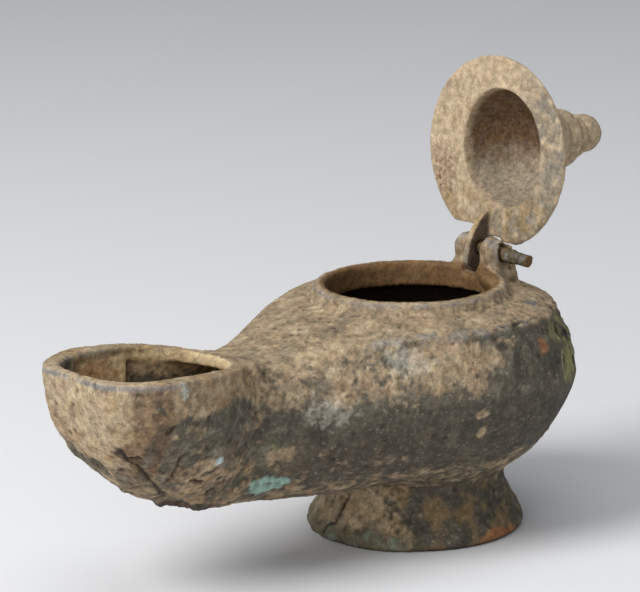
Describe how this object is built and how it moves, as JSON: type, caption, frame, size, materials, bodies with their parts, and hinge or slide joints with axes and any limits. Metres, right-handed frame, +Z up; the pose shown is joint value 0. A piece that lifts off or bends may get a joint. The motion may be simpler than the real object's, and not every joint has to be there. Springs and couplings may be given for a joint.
{
  "type": "roman oil lamp",
  "caption": "Cast bronze oil lamp with a round bowl on a ring foot, a long wick nozzle and a hinged domed lid with a ball knob, corroded and worn.",
  "frame": {"origin": "middle of the ground rectangle that the lamp and its open lid cover, on the plane of the foot", "axes": "+Z up; the wick nozzle points along -X; the lid's hinge pin lies along Y behind the filling hole, its longer end towards -Y"},
  "size_m": [0.1334, 0.0638, 0.0911],
  "materials": {
    "patinated_bronze": "matte slate-grey and olive patina under tan burial crust, pitted and cracked",
    "encrusted_bronze": "matte pale tan and grey mineral crust with brown speckles",
    "worn_pin": "matte olive-brown patina with a yellowish end"
  },
  "bodies": {
    "lamp": {"lamp_body": "patinated_bronze", "hinge_pin": "worn_pin"},
    "lid": {"lid": "encrusted_bronze"}
  },
  "joints": [
    {"name": "lid_hinge", "type": "hinge", "parent": "lamp", "child": "lid", "pos_m": [0.03638, 0, 0.0526], "axis": [0, 1, 0], "range_deg": [-100, 0]}
  ]
}
